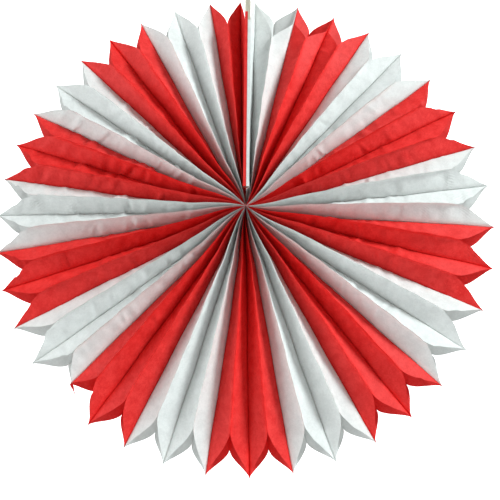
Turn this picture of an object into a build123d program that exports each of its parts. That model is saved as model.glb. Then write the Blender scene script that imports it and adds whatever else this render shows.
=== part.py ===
"""Round tissue-paper fan: honeycomb cells of glued sheets, opened right round and closed on two end boards.

The disc stands in the XZ plane with its hub on the Y axis. The front faces -Y, and the seam between the two
end boards points straight up. Angles run clockwise from the top, as seen from the front.
"""
from build123d import *
import math
import os

# Driving dimensions, in millimetres and degrees
cell_count = 38            # whole honeycomb cells between the two half cells at the seam
tip_radius = 250.0         # hub to the point of a petal
front_notch_radius = 205.0
back_notch_radius = 225.0
hub_radius = 3.5           # inner ends of the sheets
sheet_width = 48.0         # front edge to back edge of one flat sheet
sheet_thickness = 0.15
edge_glue = 2.5            # glue line along the front and back edges of a sheet
middle_glue = 2.5          # glue line along the middle of a sheet
station_count = 5          # sections between the hub and the front notch
seam_station_count = 14    # the same on the more twisted sheets at the seam

# How unevenly the cells are pulled open round the disc
seam_half_angle = 1.95
seam_lean = 1.45           # how far the seam leans back from the evenly opened cells on both sides of it
slow_unevenness = 3.4
slow_phase = 20.0
fast_unevenness = 0.6
fast_phase = 231.0

# End boards, the tape between them and the hanging hole
board_thickness = 2.8
board_overhang = 16.0
board_room = 1.0           # clear length between the crowded hub and the inner end of the boards
board_corner = 4.0
tape_thickness = 0.2
tape_width = 20.0
tape_start = 60.0
tape_length = 130.0
hanging_hole_radius = 2.5
red_lap_end = 218.0        # where each end sheet stops lapping over the front edge of its board
white_lap_end = 208.0

# Thread round the inner ends of the sheets
thread_radius = 0.4
thread_turns = 5
thread_clearance = 0.1

half_width = sheet_width / 2
wall_face = tape_thickness / 2 + board_thickness
end_face = wall_face + sheet_thickness
first_valley = end_face + 2 * sheet_thickness


def valley_angle(number):
    """Angle of a valley line and its petal tip, 1 just right of the seam and cell_count + 1 just left of it."""
    share = (number - 1) / cell_count
    turn = 360 * share
    slow = math.cos(math.radians(slow_phase)) - math.cos(math.radians(turn + slow_phase))
    fast = math.sin(math.radians(2 * turn + fast_phase)) - math.sin(math.radians(fast_phase))
    even = seam_half_angle + (360 - 2 * seam_half_angle) * share
    lean = seam_lean if 1 < number <= cell_count else 0
    return even + lean + slow_unevenness * slow + fast_unevenness * fast


seam_crowding = math.radians(min(valley_angle(2), 360 - valley_angle(cell_count)))
board_start = first_valley / math.tan(seam_crowding) + board_room


def valley_foot(number):
    """A point (x, z) on the inner end of a valley line: the hub, but beside the boards at the seam."""
    if number == 1:
        return first_valley, board_start
    if number == cell_count + 1:
        return -first_valley, board_start
    return 0.0, 0.0


def valley_tip(number):
    """The point (x, z) of the petal at the end of a valley line."""
    angle = math.radians(valley_angle(number))
    return tip_radius * math.sin(angle), tip_radius * math.cos(angle)


def valley_direction(number):
    """Angle of a valley line from straight up, in radians."""
    foot_x, foot_z = valley_foot(number)
    tip_x, tip_z = valley_tip(number)
    return math.atan2(tip_x - foot_x, tip_z - foot_z) % (2 * math.pi)


def cell_layout(number):
    """Where the two valley lines of a cell meet, the angle midway between them and half its opening."""
    left = valley_direction(number)
    right = valley_direction(number + 1)
    left_x, left_z = valley_foot(number)
    right_x, right_z = valley_foot(number + 1)
    across = (right_x - left_x) * math.cos(right) - (right_z - left_z) * math.sin(right)
    along = across / math.sin(left - right)
    apex = (left_x + along * math.sin(left), 0, left_z + along * math.cos(left))
    return apex, (left + right) / 2, (right - left) / 2


def ridge_depth(reach):
    """Distance of a ridge in front of or behind the middle, where a sheet reaches this far sideways."""
    slope = half_width - edge_glue - middle_glue / 2
    reach = min(reach - sheet_thickness, 0.98 * slope)
    return edge_glue + middle_glue / 2 + math.sqrt(slope ** 2 - reach ** 2)


def zigzag(start, reach, depth):
    """Section of one sheet: front glue line, slope to the middle glue line at its far side, and back."""
    near = start
    far = start + reach - sheet_thickness
    middle = middle_glue / 2
    edge = depth - edge_glue
    front_to_back = [(near, -depth), (near, -edge), (far, -middle), (far, middle), (near, edge), (near, depth)]
    back_to_front = [(x + sheet_thickness, y) for x, y in reversed(front_to_back)]
    return front_to_back + back_to_front


def petal_cut(outline_plane, depth, notch, length):
    """Plane that trims one side of a petal, from the notch at this depth to the point in the middle."""
    notch_point = outline_plane.from_local_coords((depth, notch, 0))
    point = outline_plane.from_local_coords((0, length, 0))
    along = point - notch_point
    outward = along.cross(outline_plane.z_dir) if depth > 0 else outline_plane.z_dir.cross(along)
    return Plane(origin=point, x_dir=along, z_dir=outward)


def make_sheet(apex, angle, opening, start, first, base=0.0, steps=station_count):
    """One glued sheet of tissue, on the clockwise side of the plane through apex at this angle.

    start is its near side from that plane, first its inner end, base its reach at the apex, and steps its sections.
    """
    outward = (math.sin(angle), 0, math.cos(angle))
    clockwise = (math.cos(angle), 0, -math.sin(angle))
    lift = apex[0] * outward[0] + apex[2] * outward[2]
    length = tip_radius * math.cos(opening) - lift
    notch = front_notch_radius - lift
    rise = math.tan(opening)
    notch_depth = ridge_depth(base + notch * rise)
    stations = [first + (notch - first) * step / steps for step in range(steps + 1)]
    with BuildPart() as sheet:
        for station in stations + [length]:
            reach = base + station * rise
            depth = max(ridge_depth(reach), notch_depth)
            with BuildSketch(Plane(origin=apex, x_dir=clockwise, z_dir=outward).offset(station)):
                with BuildLine():
                    Polyline(*zigzag(start, reach, depth), close=True)
                make_face()
        loft(ruled=True)
        side = Plane(origin=apex, x_dir=(0, 1, 0), z_dir=clockwise)
        split(bisect_by=petal_cut(side, -notch_depth, notch, length), keep=Keep.BOTTOM)
        split(bisect_by=petal_cut(side, notch_depth, back_notch_radius - lift, length), keep=Keep.BOTTOM)
    return sheet.part


os.makedirs("parts", exist_ok=True)

# Whole cells: each is two sheets glued to each other along their front and back edges
for number in range(1, cell_count + 1):
    apex, middle, opening = cell_layout(number)
    clockwise_sheet = make_sheet(apex, middle, opening, 0.0, hub_radius)
    ridge_plane = Plane(origin=apex, z_dir=(math.cos(middle), 0, -math.sin(middle)))
    other_sheet = clockwise_sheet.mirror(ridge_plane)
    cell = Compound(label=f"cell_{number:02d}", children=[other_sheet, clockwise_sheet])
    export_step(cell, f"parts/{cell.label}.step")

# Half cells at the seam: one sheet each, glued by its edges to the sheet that lies on the end board
seam_opening = valley_direction(1)
seam_base = first_valley - end_face - board_start * math.tan(seam_opening)
seam_sheet_white = make_sheet((0, 0, 0), 0.0, seam_opening, end_face, board_start, seam_base, seam_station_count)
seam_sheet_white.label = "seam_sheet_white"
export_step(seam_sheet_white, "parts/seam_sheet_white.step")
seam_sheet_red = seam_sheet_white.mirror(Plane.YZ)
seam_sheet_red.label = "seam_sheet_red"
export_step(seam_sheet_red, "parts/seam_sheet_red.step")


def flat_sheet_outline():
    """Outline of a sheet that lies flat on an end board, in the YZ plane."""
    inner = (half_width, board_start)
    with BuildLine() as outline:
        Polyline(
            (-half_width, board_start), (-half_width, front_notch_radius), (0, tip_radius),
            (half_width, back_notch_radius), inner, close=True,
        )
    return outline


# End sheets: the outermost tissue of the stack at each end, pasted flat on its board and lapped round its front edge
def make_end_sheet(lap_end):
    """The end sheet of the right-hand board."""
    with BuildPart() as sheet:
        with BuildSketch(Plane.YZ.offset(wall_face)):
            add(flat_sheet_outline().line)
            make_face()
        extrude(amount=sheet_thickness)
        with BuildSketch(Plane.XZ.offset(half_width)):
            with Locations((tape_thickness / 2, board_start)):
                Rectangle(end_face - tape_thickness / 2, lap_end - board_start, align=(Align.MIN, Align.MIN))
        extrude(amount=sheet_thickness)
    return sheet.part


end_sheet_white = make_end_sheet(white_lap_end)
end_sheet_white.label = "end_sheet_white"
export_step(end_sheet_white, "parts/end_sheet_white.step")
end_sheet_red = make_end_sheet(red_lap_end).mirror(Plane.YZ)
end_sheet_red.label = "end_sheet_red"
export_step(end_sheet_red, "parts/end_sheet_red.step")

# End boards: plain card as wide as the sheets, square-ended, with one punched hole to hang the fan by
board_end = tip_radius + board_overhang
with BuildPart() as end_board_right:
    with BuildSketch(Plane.YZ.offset(tape_thickness / 2)):
        with Locations((0, board_start)):
            Rectangle(sheet_width, board_end - board_start, align=(Align.CENTER, Align.MIN))
        fillet(vertices().group_by(Axis.Z)[-1], radius=board_corner)
        with Locations((0, tip_radius + board_overhang / 2)):
            Circle(hanging_hole_radius, mode=Mode.SUBTRACT)
    extrude(amount=board_thickness)
end_board_right.part.label = "end_board_right"
export_step(end_board_right.part, "parts/end_board_right.step")
end_board_left = end_board_right.part.mirror(Plane.YZ)
end_board_left.label = "end_board_left"
export_step(end_board_left, "parts/end_board_left.step")

# Double-sided tape that holds the two boards back to back
with BuildPart() as joining_tape:
    with BuildSketch(Plane.YZ.offset(-tape_thickness / 2)):
        with Locations((0, tape_start)):
            Rectangle(tape_width, tape_length, align=(Align.CENTER, Align.MIN))
    extrude(amount=tape_thickness)
joining_tape.part.label = "joining_tape"
export_step(joining_tape.part, "parts/joining_tape.step")

# Thread wound inside the ring of inner ends
ring_radius = hub_radius - thread_clearance - thread_radius
turn_pitch = 1.6 * thread_radius
with BuildPart() as hub_thread:
    for turn in range(thread_turns):
        with Locations(Plane.XZ.offset((turn - (thread_turns - 1) / 2) * turn_pitch)):
            Torus(ring_radius, thread_radius)
hub_thread.part.label = "hub_thread"
export_step(hub_thread.part, "parts/hub_thread.step")
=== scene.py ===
"""Looks of the round tissue-paper fan: every tissue sheet as a soft S-curved, puckered mesh, in metres."""
import math

import bpy
import numpy as np
from mathutils import Matrix, Vector


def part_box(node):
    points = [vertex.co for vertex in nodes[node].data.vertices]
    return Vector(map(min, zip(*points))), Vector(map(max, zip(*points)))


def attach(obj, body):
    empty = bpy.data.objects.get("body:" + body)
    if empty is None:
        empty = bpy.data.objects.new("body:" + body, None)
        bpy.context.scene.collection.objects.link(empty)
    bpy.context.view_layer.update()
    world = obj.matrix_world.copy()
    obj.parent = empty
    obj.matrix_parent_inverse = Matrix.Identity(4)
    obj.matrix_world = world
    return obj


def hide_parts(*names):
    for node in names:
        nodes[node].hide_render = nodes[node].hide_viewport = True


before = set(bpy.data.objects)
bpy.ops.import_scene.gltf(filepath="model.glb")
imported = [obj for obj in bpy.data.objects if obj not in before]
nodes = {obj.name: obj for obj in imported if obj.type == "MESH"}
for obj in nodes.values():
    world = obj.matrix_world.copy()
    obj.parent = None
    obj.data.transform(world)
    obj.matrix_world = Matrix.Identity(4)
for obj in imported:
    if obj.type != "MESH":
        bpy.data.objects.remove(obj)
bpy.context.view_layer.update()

# Sizes shared with the CAD, in metres and degrees
CELLS = sum(name.startswith("cell_") for name in nodes)
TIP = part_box("end_sheet_white")[1].z
FRONT_NOTCH = 0.205
BACK_NOTCH = 0.225
HALF_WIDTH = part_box("end_sheet_white")[1].y
EDGE_GLUE = 0.0025
MIDDLE_GLUE = 0.00125
HUB = 0.0035
SEAM_HALF_ANGLE = 1.95
SEAM_LEAN = 1.45
SLOW, SLOW_PHASE = 3.4, 20.0
FAST, FAST_PHASE = 0.6, 231.0
BOARD_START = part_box("end_board_right")[0].z
WALL_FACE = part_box("end_board_right")[1].x
SHEET_GAP = -0.00004   # glued sheets cross by this much, so that no light shows between them
SEAM_SHEET = WALL_FACE + 0.00015
FIRST_VALLEY = SEAM_SHEET + 0.0003

# Grid of each sheet
ROWS = 216
COLUMNS = 22
COLUMN_CROWDING = 0.85  # below 1 the columns stand closer together towards the two cut edges

# Creases: how far out they lie, in metres; how far in from the edge and how long, as shares of the half width;
# their slant; how narrow they are, in metres; and their height, as a share of CREASE_SIZE
CREASE_PLACES_OUT = (0.05, TIP * 0.92)
CREASE_PLACES_IN = (0.15, 0.75)
CREASE_SLANTS = (-0.35, 0.35)
CREASE_WIDTHS = (0.0019, 0.0034)
CREASE_LENGTHS = (0.35, 0.7)
CREASE_HEIGHTS = (0.4, 1.0)
CREASE_SIZE = 0.0026
FEWEST_CREASES = 5
MORE_CREASES = 15       # added on a fully wrinkled sheet

# Unevenness of the sheets: wavelengths and size, in metres
PUCKER_LENGTHS, PUCKER_SIZE = (0.041, 0.027, 0.016), 0.0005
RIDGE_LENGTHS, RIDGE_SIZE = (0.13, 0.062, 0.027), 0.0007
VALLEY_LENGTHS, VALLEY_SIZE = (0.15, 0.07), 0.0005
CALM_REACH = 0.08       # the waves fade within this distance of the hub
FREE_REACH = 0.01       # puckers and creases fade where a sheet reaches less far sideways than this

# Shape of a sheet from its ridge to its valley line
S_CURVE = 0.6           # share of an S curve in it; the rest is straight
STEEPEST = 0.98         # most of its slope that a sheet can reach sideways
LEAST_REACH = 0.00002   # a sheet never comes nearer to the middle of its cell than this
MIDDLE_BAND = 0.02      # share of the half width that goes with the back point

# First seed of each kind of line or sheet
RIDGE_SEEDS = 100
VALLEY_SEEDS = 300
SEAM_SEEDS = 400


def valley_angle(number):
    share = (number - 1) / CELLS
    turn = 360 * share
    slow = math.cos(math.radians(SLOW_PHASE)) - math.cos(math.radians(turn + SLOW_PHASE))
    fast = math.sin(math.radians(2 * turn + FAST_PHASE)) - math.sin(math.radians(FAST_PHASE))
    lean = SEAM_LEAN if 1 < number <= CELLS else 0
    return SEAM_HALF_ANGLE + (360 - 2 * SEAM_HALF_ANGLE) * share + lean + SLOW * slow + FAST * fast


def valley_line(number):
    """Foot (x, z) and direction in radians of a valley line."""
    angle = math.radians(valley_angle(number))
    tip = (TIP * math.sin(angle), TIP * math.cos(angle))
    feet = {1: (FIRST_VALLEY, BOARD_START), CELLS + 1: (-FIRST_VALLEY, BOARD_START)}
    foot = feet.get(number, (0.0, 0.0))
    return foot, math.atan2(tip[0] - foot[0], tip[1] - foot[1]) % (2 * math.pi)


def cell_layout(number):
    """Where a cell's two valley lines meet, the angle midway between them and half its opening."""
    (left_x, left_z), left = valley_line(number)
    (right_x, right_z), right = valley_line(number + 1)
    across = (right_x - left_x) * math.cos(right) - (right_z - left_z) * math.sin(right)
    along = across / math.sin(left - right)
    apex = (left_x + along * math.sin(left), left_z + along * math.cos(left))
    return apex, (left + right) / 2, (right - left) / 2


def waves(seed, x, lengths, size):
    """Smooth repeatable unevenness along x, as a few sine waves with seeded phases."""
    rng = np.random.default_rng(seed)
    total = np.zeros_like(x)
    for length in lengths:
        total += np.sin(2 * math.pi * x / length + rng.uniform(0, 2 * math.pi)) * rng.uniform(0.5, 1.0)
    return total * size / len(lengths)


def creases(seed, radius, distance, count, size):
    """Short crosswise wrinkles at seeded places on a sheet, distance being measured from its edge."""
    rng = np.random.default_rng(seed)
    total = np.zeros_like(radius)
    for _ in range(count):
        place_out = rng.uniform(*CREASE_PLACES_OUT)
        place_in = rng.uniform(*CREASE_PLACES_IN) * HALF_WIDTH
        slant = rng.uniform(*CREASE_SLANTS)
        narrow = rng.uniform(*CREASE_WIDTHS)
        long = rng.uniform(*CREASE_LENGTHS) * HALF_WIDTH
        height = rng.uniform(*CREASE_HEIGHTS) * size * rng.choice((-1, 1))
        along = (radius - place_out - slant * (distance - place_in)) / narrow
        total += height * np.exp(-along ** 2 - ((distance - place_in) / long) ** 2)
    return total


def ridge_depth(reach):
    """Depth of a ridge from the middle, where a sheet reaches this far sideways."""
    slope = HALF_WIDTH - EDGE_GLUE - MIDDLE_GLUE
    return EDGE_GLUE + MIDDLE_GLUE + np.sqrt(slope ** 2 - np.minimum(reach, STEEPEST * slope) ** 2)


# Damage, in metres: petals with a shortened front or back point, by the number of the valley line, and
# ridges torn back at the front, by the number of the cell
SHORT_FRONT_TIPS = {2: 0.022, 3: 0.020, 24: 0.016}
SHORT_BACK_TIPS = {24: 0.016}
TORN_RIDGES = {1: 0.011, 2: 0.005}
BOW = 1.14           # above 1 the cut edge of a petal bows outwards
SWIRL = 9.0          # degrees that the sheets turn round the hub, within SWIRL_REACH of it
SWIRL_REACH = 0.055
SWIRL_FADE = 1.5
SWIRL_SPARED = 30.0  # degrees on each side of the seam where the boards hold the turn back
PINCH = 0.00005      # where the sheets meet at the hub, in front of the thread and behind it
THREAD_ROOM = 0.0035
BOARD_TURN = 0.0022  # how far inside the boards the seam sheets start to turn in to each other
TURN_SHARE = 0.7     # share of BOARD_TURN that the turn takes


def sheet_points(apex, angle, opening, side, ridge_seed, valley_seed, start=0.0, base=0.0, wrinkled=0.5,
                 short=(0.0, 0.0), torn=0.0, crowding=0.0):
    """Grid of points of one sheet. side is 1 for the clockwise sheet of its cell and -1 for the other.

    start is how far from the seam the flat face of an end board stands, or 0 for a sheet of a whole cell. base is
    the reach at the apex, wrinkled how creased the sheet is, short what its front and back points have lost, torn
    what the front notch at its ridge has lost, and crowding the angle of the cell that presses on it inside the
    boards.
    """
    across = np.linspace(-1.0, 1.0, COLUMNS + 1)
    across = np.sign(across) * np.abs(across) ** COLUMN_CROWDING
    along = np.linspace(0.0, 1.0, ROWS + 1)
    width, share = np.meshgrid(across, along)
    lift = apex[0] * math.sin(angle) + apex[1] * math.cos(angle)
    tip = TIP * math.cos(opening) - lift
    notch = np.where(width < 0, FRONT_NOTCH - torn, BACK_NOTCH) - lift
    point = np.where(width < -MIDDLE_BAND, tip - short[0], tip - short[1])
    end = notch + (point - notch) * (1 - np.abs(width) ** BOW)
    inner_end = np.where(np.abs(width) * HALF_WIDTH < THREAD_ROOM, HUB, PINCH) - lift
    radius = inner_end + (end - inner_end) * share
    reach = np.maximum(base + radius * math.tan(opening), LEAST_REACH)
    wall = 0.0
    if start:
        wall = start * np.clip((radius - BOARD_START + BOARD_TURN) / (TURN_SHARE * BOARD_TURN), 0.0, 1.0)
        pressed = np.minimum(FIRST_VALLEY, radius * math.tan(crowding)) - wall
        reach = np.where(radius < BOARD_START, np.maximum(pressed, LEAST_REACH), reach)
    deepest = ridge_depth(base + (FRONT_NOTCH - lift) * math.tan(opening))
    depth = np.maximum(ridge_depth(reach), deepest)
    distance = (1 - np.abs(width)) * HALF_WIDTH
    slope = (distance - EDGE_GLUE) / (HALF_WIDTH - EDGE_GLUE - MIDDLE_GLUE)
    slope = np.clip(slope, 0.0, 1.0)
    ease = slope * slope * (3 - 2 * slope)
    ease = S_CURVE * ease + (1 - S_CURVE) * slope
    glued = np.minimum(distance, EDGE_GLUE)
    inner = np.maximum(distance - HALF_WIDTH + MIDDLE_GLUE, 0)
    y = np.sign(width) * (depth - glued - slope * (depth - EDGE_GLUE - MIDDLE_GLUE) - inner)
    gap = np.minimum(SHEET_GAP, reach / 2)
    x = wall + gap / 2 + (reach - gap) * ease
    pucker_seed = ridge_seed * 7 + (side > 0)
    pucker = waves(pucker_seed, radius + 0.2 * distance, PUCKER_LENGTHS, PUCKER_SIZE * wrinkled)
    crease_seed = valley_seed * 5 + (side > 0)
    crease_count = int(FEWEST_CREASES + MORE_CREASES * wrinkled)
    wrinkle = creases(crease_seed, radius, distance, crease_count, CREASE_SIZE * wrinkled)
    free = np.clip(4 * slope * (1 - slope), 0, 1) * np.clip(reach / FREE_REACH, 0, 1)
    x = side * (x + (pucker + wrinkle) * free)
    flat_x = apex[0] + x * math.cos(angle) + radius * math.sin(angle)
    flat_z = apex[1] - x * math.sin(angle) + radius * math.cos(angle)
    if lift > HUB:
        to_hub = np.clip(1 + radius / lift, 0, 1)
        flat_x = np.where(radius < 0, apex[0] * to_hub, flat_x)
        flat_z = np.where(radius < 0, apex[1] * to_hub, flat_z)
    hub_distance = np.hypot(flat_x, flat_z)
    calm = np.clip(hub_distance / CALM_REACH, 0.0, 1.0)
    ridge_wave = waves(ridge_seed, hub_distance, RIDGE_LENGTHS, RIDGE_SIZE) * calm * (1 - ease) * (start == 0.0)
    valley_wave = waves(valley_seed, hub_distance, VALLEY_LENGTHS, VALLEY_SIZE) * calm * ease
    valley = angle + side * opening
    flat_x = flat_x + ridge_wave * math.cos(angle) + valley_wave * math.cos(valley)
    flat_z = flat_z - ridge_wave * math.sin(angle) - valley_wave * math.sin(valley)
    from_seam = np.abs(np.arctan2(flat_x, flat_z)) / math.radians(SWIRL_SPARED)
    near_hub = np.clip(1 - hub_distance / SWIRL_REACH, 0, 1) ** SWIRL_FADE
    turn = math.radians(SWIRL) * near_hub * np.clip(from_seam, 0, 1)
    swirled_x = flat_x * np.cos(turn) + flat_z * np.sin(turn)
    swirled_z = flat_z * np.cos(turn) - flat_x * np.sin(turn)
    return np.stack((swirled_x, y, swirled_z), axis=-1)


def grid_mesh(name, grids):
    """One object from several grids of points."""
    points, faces, uvs = [], [], []
    for grid in grids:
        rows, columns = grid.shape[:2]
        base = len(points)
        points.extend(map(tuple, grid.reshape(-1, 3)))
        for row in range(rows - 1):
            for column in range(columns - 1):
                corner = base + row * columns + column
                faces.append((corner, corner + 1, corner + columns + 1, corner + columns))
        for row in range(rows):
            uvs.extend((column / (columns - 1), row / (rows - 1)) for column in range(columns))
    mesh = bpy.data.meshes.new(name)
    mesh.from_pydata(points, [], faces)
    layer = mesh.uv_layers.new(name="sheet")
    for loop in mesh.loops:
        layer.data[loop.index].uv = uvs[loop.vertex_index]
    mesh.polygons.foreach_set("use_smooth", [True] * len(mesh.polygons))
    piece = bpy.data.objects.new(name, mesh)
    bpy.context.collection.objects.link(piece)
    return piece


def tissue(name, pale, deep, through, glow):
    """Thin tissue: cloudy and fibrous colour, fine crinkle, and light that passes through it."""
    material = bpy.data.materials.new(name)
    material.use_nodes = True
    tree = material.node_tree
    tree.nodes.clear()
    link = tree.links.new

    def add(kind, **settings):
        node = tree.nodes.new(kind)
        for key, value in settings.items():
            node.inputs[key].default_value = value
        return node

    coordinate = add("ShaderNodeTexCoord")
    cloud = add("ShaderNodeTexNoise", Scale=125.0, Detail=6.0, Roughness=0.65)
    fibre = add("ShaderNodeTexNoise", Scale=400.0, Detail=3.0, Roughness=0.7, Distortion=1.2)
    crinkle = add("ShaderNodeTexNoise", Scale=110.0, Detail=4.0, Roughness=0.6, Distortion=0.8)
    blend = add("ShaderNodeMix", Factor=0.45)
    ramp = add("ShaderNodeValToRGB")
    coarse = add("ShaderNodeBump", Strength=0.35, Distance=0.0009)
    fine = add("ShaderNodeBump", Strength=0.30, Distance=0.0003)
    surface = add("ShaderNodeBsdfPrincipled", Roughness=0.62)
    surface.inputs["Specular IOR Level"].default_value = 0.3
    passing = add("ShaderNodeBsdfTranslucent", Color=(*glow, 1))
    mix = add("ShaderNodeMixShader", Fac=through)
    output = add("ShaderNodeOutputMaterial")
    ramp.color_ramp.elements[0].position = 0.41
    ramp.color_ramp.elements[1].position = 0.59
    ramp.color_ramp.elements[0].color = (*deep, 1)
    ramp.color_ramp.elements[1].color = (*pale, 1)
    for noise in (cloud, fibre, crinkle):
        link(coordinate.outputs["Object"], noise.inputs["Vector"])
    link(cloud.outputs["Fac"], blend.inputs["A"])
    link(fibre.outputs["Fac"], blend.inputs["B"])
    link(blend.outputs["Result"], ramp.inputs["Fac"])
    link(crinkle.outputs["Fac"], coarse.inputs["Height"])
    link(fibre.outputs["Fac"], fine.inputs["Height"])
    link(coarse.outputs["Normal"], fine.inputs["Normal"])
    link(ramp.outputs["Color"], surface.inputs["Base Color"])
    link(fine.outputs["Normal"], surface.inputs["Normal"])
    link(surface.outputs["BSDF"], mix.inputs[1])
    link(passing.outputs["BSDF"], mix.inputs[2])
    link(mix.outputs["Shader"], output.inputs["Surface"])
    return material


def plain(name, pale, deep, scale, roughness, stretch=(1, 1, 1), bump_size=0.0003):
    """Card, tape or thread: two tones of noise and a fine bump."""
    material = bpy.data.materials.new(name)
    material.use_nodes = True
    tree = material.node_tree
    surface = tree.nodes["Principled BSDF"]
    coordinate = tree.nodes.new("ShaderNodeTexCoord")
    mapping = tree.nodes.new("ShaderNodeMapping")
    noise = tree.nodes.new("ShaderNodeTexNoise")
    ramp = tree.nodes.new("ShaderNodeValToRGB")
    bump = tree.nodes.new("ShaderNodeBump")
    mapping.inputs["Scale"].default_value = stretch
    noise.inputs["Scale"].default_value = scale
    noise.inputs["Detail"].default_value = 4.0
    ramp.color_ramp.elements[0].position = 0.35
    ramp.color_ramp.elements[1].position = 0.65
    ramp.color_ramp.elements[0].color = (*deep, 1)
    ramp.color_ramp.elements[1].color = (*pale, 1)
    bump.inputs["Strength"].default_value = 0.3
    bump.inputs["Distance"].default_value = bump_size
    surface.inputs["Roughness"].default_value = roughness
    link = tree.links.new
    link(coordinate.outputs["Object"], mapping.inputs["Vector"])
    link(mapping.outputs["Vector"], noise.inputs["Vector"])
    link(noise.outputs["Fac"], ramp.inputs["Fac"])
    link(noise.outputs["Fac"], bump.inputs["Height"])
    link(ramp.outputs["Color"], surface.inputs["Base Color"])
    link(bump.outputs["Normal"], surface.inputs["Normal"])
    return material


white_tissue = tissue("white_tissue", (0.88, 0.91, 0.90), (0.77, 0.80, 0.79), 0.20, (0.84, 0.85, 0.82))
red_tissue = tissue("red_tissue", (0.91, 0.046, 0.042), (0.77, 0.020, 0.018), 0.20, (0.88, 0.015, 0.012))
board = plain("grey_board", (0.56, 0.54, 0.43), (0.44, 0.42, 0.33), 260.0, 0.85, (1, 1, 0.2))
tape = plain("tape", (0.80, 0.79, 0.72), (0.72, 0.70, 0.62), 180.0, 0.5)
thread = plain("thread", (0.55, 0.05, 0.05), (0.35, 0.02, 0.02), 900.0, 0.8, (1, 6, 1))


def place(piece, material, slot, *replaced):
    """Give a piece its material and its body, and hide the CAD nodes that it stands for. slot is not used."""
    piece.data.materials.append(material)
    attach(piece, "root")
    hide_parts(*replaced)


def is_white(number):
    """Sheets come four of a colour together, so two cells in a row match."""
    return number % 4 in (0, 1)


WORN_ANGLE = 295     # the most wrinkled part of the disc, in degrees clockwise from the top
WORN_SPREAD = 12


def wrinkledness(angle):
    """How creased a cell is: more at the sides than at the top and bottom, and most at WORN_ANGLE."""
    worn = 0.5 * math.exp(-((math.degrees(angle) - WORN_ANGLE) / WORN_SPREAD) ** 2)
    return 0.25 + 0.75 * math.sin(angle) ** 2 + worn


for number in range(1, CELLS + 1):
    apex, middle, opening = cell_layout(number)
    torn = TORN_RIDGES.get(number, 0.0)
    grids = []
    for side, valley in ((-1, number), (1, number + 1)):
        short = (SHORT_FRONT_TIPS.get(valley, 0.0), SHORT_BACK_TIPS.get(valley, 0.0))
        grids.append(sheet_points(apex, middle, opening, side, RIDGE_SEEDS + number, VALLEY_SEEDS + valley,
                                  wrinkled=wrinkledness(middle), short=short, torn=torn))
    cell = grid_mesh(f"tissue_cell_{number:02d}", grids)
    colour, material = ("white", white_tissue) if is_white(number) else ("red", red_tissue)
    place(cell, material, f"{colour}_tissue", f"cell_{number:02d}")

# The torn strip that hangs from a shortened petal, from its point down, in metres
STRAND_TIP = 24
STRAND_STEPS = 12
STRAND_FALL = 0.013
STRAND_DRIFT = 0.0065
STRAND_FORWARD = 0.002
STRAND_HALF_WIDTH = 0.0011
STRAND_TWIST = 2.2   # radians
STRAND_INSET = 0.001
tip_angle = math.radians(valley_angle(STRAND_TIP))
strand_reach = TIP - SHORT_BACK_TIPS[STRAND_TIP] - STRAND_INSET
strand_top = Vector((math.sin(tip_angle), 0, math.cos(tip_angle))) * strand_reach
strand = np.zeros((STRAND_STEPS + 1, 3, 3))
for row in range(STRAND_STEPS + 1):
    fall = row / STRAND_STEPS
    middle_line = strand_top + Vector((STRAND_DRIFT * fall ** 0.8, -STRAND_FORWARD * fall, -STRAND_FALL * fall))
    half = STRAND_HALF_WIDTH * (1 - 0.35 * fall) * (1 + 0.25 * math.sin(9 * fall))
    for column in range(3):
        twist = STRAND_TWIST * fall
        sideways = Vector((math.cos(twist), math.sin(twist), 0.3)) * half * (column - 1)
        strand[row, column] = middle_line + sideways
torn_strip = grid_mesh("tissue_torn_strip", [strand])
torn_strip.data.materials.append(red_tissue)
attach(torn_strip, "root")

seam_opening = valley_line(1)[1]
seam_base = FIRST_VALLEY - SEAM_SHEET - BOARD_START * math.tan(seam_opening)
for side, colour, material in ((1, "white", white_tissue), (-1, "red", red_tissue)):
    valley_seed = VALLEY_SEEDS + 1 if side > 0 else VALLEY_SEEDS + 1 + CELLS
    crowding = math.radians(valley_angle(2) if side > 0 else 360 - valley_angle(CELLS))
    grid = sheet_points((0.0, 0.0), 0.0, seam_opening, side, SEAM_SEEDS + side, valley_seed,
                        start=SEAM_SHEET, base=seam_base, wrinkled=0.3, crowding=crowding)
    place(grid_mesh(f"tissue_seam_{colour}", [grid]), material, f"{colour}_tissue", f"seam_sheet_{colour}")

for name, material in (
    ("end_sheet_white", white_tissue), ("end_sheet_red", red_tissue), ("end_board_left", board),
    ("end_board_right", board), ("joining_tape", tape), ("hub_thread", thread),
):
    mesh = nodes[name].data
    mesh.materials.clear()
    mesh.materials.append(material)


# Floor, backdrop, light and camera
STAGE_SIZE = 8.0
FLOOR_HEIGHT = -0.75
BACKDROP_DEPTH = 1.2
WORLD_LIGHT = 0.24


def sheet_of_stage(name, size, place_at, turn, colour, bright):
    """A plain sheet of the stage, which gives off light when bright is above 0."""
    bpy.ops.mesh.primitive_plane_add(size=size, location=place_at, rotation=turn)
    stage = bpy.context.object
    stage.name = name
    material = bpy.data.materials.new(name)
    material.use_nodes = True
    surface = material.node_tree.nodes["Principled BSDF"]
    surface.inputs["Base Color"].default_value = (*colour, 1)
    surface.inputs["Roughness"].default_value = 0.95
    surface.inputs["Emission Color"].default_value = (*colour, 1)
    surface.inputs["Emission Strength"].default_value = bright
    stage.data.materials.append(material)
    return stage


sheet_of_stage("floor", STAGE_SIZE, (0, 0, FLOOR_HEIGHT), (0, 0, 0), (0.9, 0.9, 0.9), 0.0)
backdrop = sheet_of_stage("backdrop", STAGE_SIZE, (0, BACKDROP_DEPTH, 0), (math.pi / 2, 0, 0), (1, 1, 1), 1.0)
backdrop.visible_diffuse = False
backdrop.visible_transmission = False
backdrop.visible_shadow = False


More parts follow.
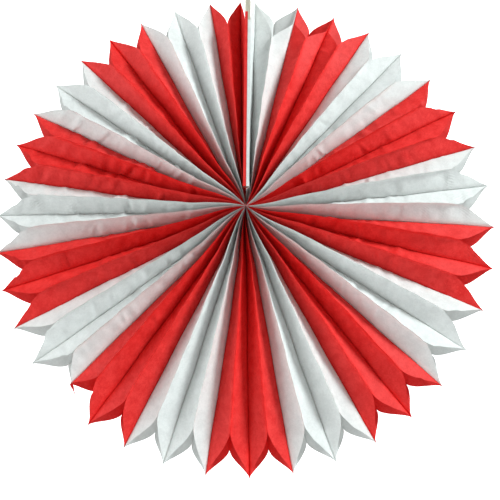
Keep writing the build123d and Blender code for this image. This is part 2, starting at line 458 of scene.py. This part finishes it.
def area_light(name, place_at, size, power, colour):
    """A square light that faces the hub."""
    data = bpy.data.lights.new(name, "AREA")
    data.size = size
    data.energy = power
    data.color = colour
    light = bpy.data.objects.new(name, data)
    light.location = place_at
    light.rotation_euler = (Vector((0, 0, 0)) - Vector(place_at)).to_track_quat("-Z", "Y").to_euler()
    bpy.context.collection.objects.link(light)


area_light("key", (1.7, -1.0, 1.1), 0.6, 56.0, (0.94, 1.0, 1.0))
area_light("left", (-2.0, -0.8, 0.2), 1.2, 28.0, (0.97, 1.0, 1.0))
area_light("low", (0.3, -1.0, -2.0), 1.2, 24.0, (1.0, 1.0, 1.0))

world = bpy.data.worlds.new("studio")
bpy.context.scene.world = world
world.use_nodes = True
world.node_tree.nodes["Background"].inputs["Color"].default_value = (1.0, 1.0, 1.0, 1)
world.node_tree.nodes["Background"].inputs["Strength"].default_value = WORLD_LIGHT

# The camera stands below the hub, tilted up, a little further away than the fan is wide; angles in degrees
CAMERA_PLACE = Vector((0.0203, -0.5429, -0.1784))
CAMERA_AZIMUTH = 1.29
CAMERA_RISE = 14.57
CAMERA_ROLL = 6.22
SEAM_TURN = 5.57     # the fan hangs turned, so the camera is turned round its axis instead
SENSOR_WIDTH = 36.0
LENS = 40.8
yaw, rise, roll, seam_turn = (math.radians(v) for v in (CAMERA_AZIMUTH, CAMERA_RISE, CAMERA_ROLL, SEAM_TURN))
forward = Vector((-math.sin(yaw) * math.cos(rise), math.cos(yaw) * math.cos(rise), math.sin(rise)))
level = Vector((math.cos(yaw), math.sin(yaw), 0))
upward = level.cross(forward)
right = level * math.cos(roll) + upward * math.sin(roll)
above = upward * math.cos(roll) - level * math.sin(roll)
axes = Matrix((right, above, -forward)).transposed()
turned = Matrix.Rotation(seam_turn, 3, "Y") @ axes

camera_data = bpy.data.cameras.new("camera")
camera_data.sensor_width = SENSOR_WIDTH
camera_data.lens = LENS
camera = bpy.data.objects.new("camera", camera_data)
camera.matrix_world = Matrix.Translation(Matrix.Rotation(seam_turn, 3, "Y") @ CAMERA_PLACE) @ turned.to_4x4()
bpy.context.collection.objects.link(camera)
bpy.context.scene.camera = camera
bpy.context.scene.view_settings.view_transform = "Standard"
